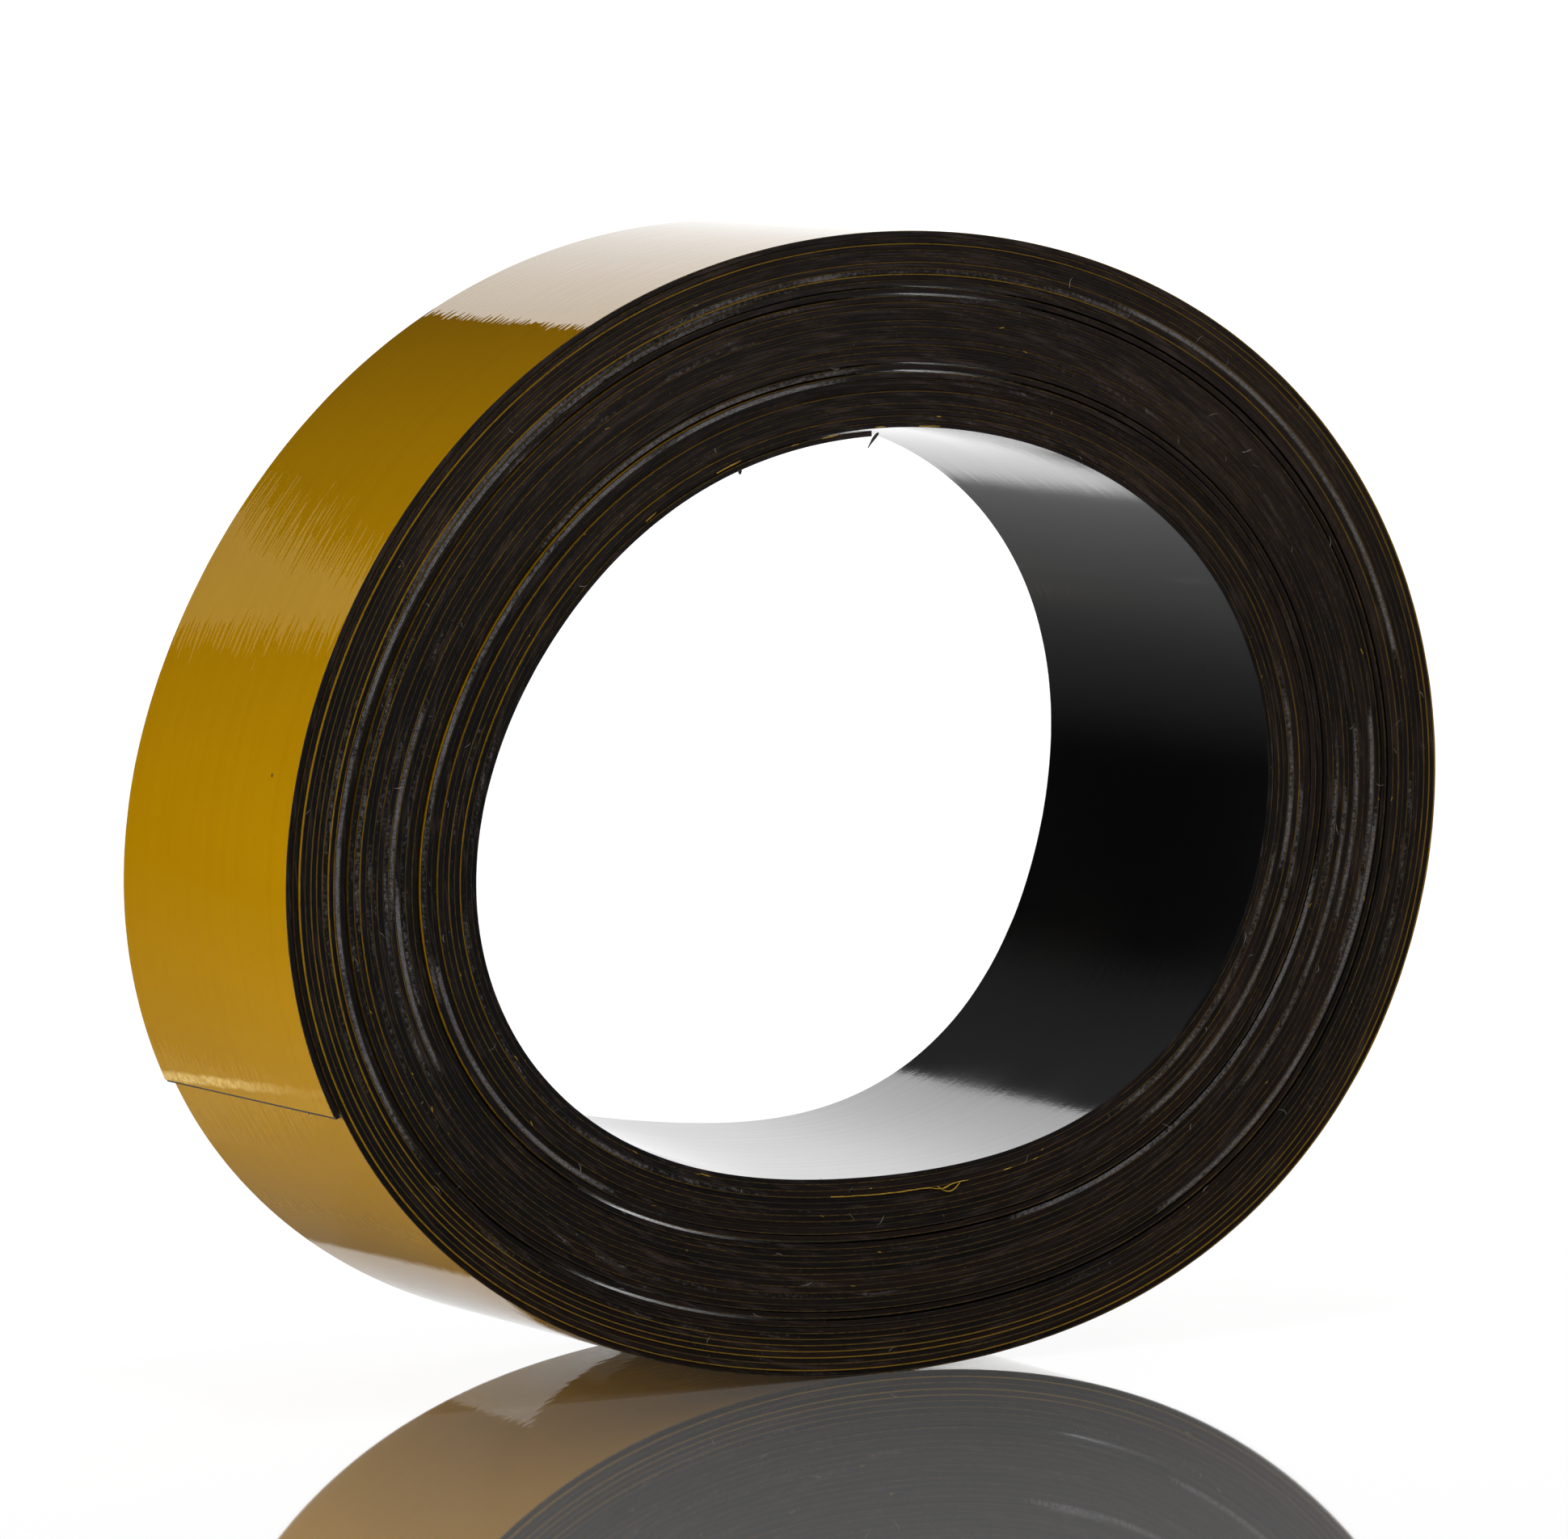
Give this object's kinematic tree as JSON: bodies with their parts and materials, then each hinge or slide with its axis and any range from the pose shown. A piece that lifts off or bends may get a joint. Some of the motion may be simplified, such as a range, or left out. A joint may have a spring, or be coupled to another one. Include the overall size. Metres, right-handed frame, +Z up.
{
  "type": "coreless tape roll",
  "caption": "Coreless, slightly oval roll of dark rubbery strip faced with glossy ochre film, wound as one spiral; its turns slip sideways in bands and both ends lift and spring back.",
  "frame": {"origin": "on the ground below the middle of the roll's bounding box, at half the strip's width", "axes": "+Z up, the roll standing on its rim; Y along the roll's axis, with the side seen best in the picture facing -Y; +X across, to the right seen from -Y"},
  "size_m": [0.1043, 0.04, 0.0953],
  "materials": {
    "carrier": "dark brown-black filled rubber, glossy on its faces, matt and speckled where it is cut",
    "film": "high gloss ochre plastic film"
  },
  "bodies": {
    "outer_turns": {"outer_turns_carrier": "carrier", "outer_turns_film": "film"},
    "middle_turns": {"middle_turns_carrier": "carrier", "middle_turns_film": "film"},
    "inner_turns": {"inner_turns_carrier": "carrier", "inner_turns_film": "film"},
    "lead_1": {"lead_1_carrier": "carrier", "lead_1_film": "film"},
    "lead_2": {"lead_2_carrier": "carrier", "lead_2_film": "film"},
    "lead_3": {"lead_3_carrier": "carrier", "lead_3_film": "film"},
    "lead_4": {"lead_4_carrier": "carrier", "lead_4_film": "film"},
    "lead_5": {"lead_5_carrier": "carrier", "lead_5_film": "film"},
    "tail_1": {"tail_1_carrier": "carrier", "tail_1_film": "film"},
    "tail_2": {"tail_2_carrier": "carrier", "tail_2_film": "film"}
  },
  "joints": [
    {"name": "middle_turns_slip", "type": "slide", "parent": "outer_turns", "child": "middle_turns", "axis": [0, 1, 0], "range_m": [-0.003, 0.003]},
    {"name": "inner_turns_slip", "type": "slide", "parent": "middle_turns", "child": "inner_turns", "axis": [0, 1, 0], "range_m": [-0.003, 0.003]},
    {"name": "lead_1_bend", "type": "hinge", "parent": "outer_turns", "child": "lead_1", "pos_m": [-0.03614, 0, 0.07929], "axis": [0, 1, 0], "range_deg": [0, 15], "stiffness_Nm_per_rad": 0.005, "springref_deg": -20.05},
    {"name": "lead_2_bend", "type": "hinge", "parent": "lead_1", "child": "lead_2", "pos_m": [-0.04315, 0, 0.07059], "axis": [0, 1, 0], "range_deg": [0, 15], "stiffness_Nm_per_rad": 0.005, "springref_deg": -20.05},
    {"name": "lead_3_bend", "type": "hinge", "parent": "lead_2", "child": "lead_3", "pos_m": [-0.04844, 0, 0.06047], "axis": [0, 1, 0], "range_deg": [0, 15], "stiffness_Nm_per_rad": 0.005, "springref_deg": -20.05},
    {"name": "lead_4_bend", "type": "hinge", "parent": "lead_3", "child": "lead_4", "pos_m": [-0.05157, 0, 0.04917], "axis": [0, 1, 0], "range_deg": [0, 15], "stiffness_Nm_per_rad": 0.005, "springref_deg": -20.05},
    {"name": "lead_5_bend", "type": "hinge", "parent": "lead_4", "child": "lead_5", "pos_m": [-0.0519, 0, 0.03718], "axis": [0, 1, 0], "range_deg": [0, 15], "stiffness_Nm_per_rad": 0.005, "springref_deg": -20.05},
    {"name": "tail_1_bend", "type": "hinge", "parent": "inner_turns", "child": "tail_1", "pos_m": [-0.01381, 0, 0.07471], "axis": [0, 1, 0], "range_deg": [0, 15], "stiffness_Nm_per_rad": 0.005, "springref_deg": -20.05},
    {"name": "tail_2_bend", "type": "hinge", "parent": "tail_1", "child": "tail_2", "pos_m": [-0.00611, 0, 0.07738], "axis": [0, 1, 0], "range_deg": [0, 15], "stiffness_Nm_per_rad": 0.005, "springref_deg": -20.05}
  ]
}
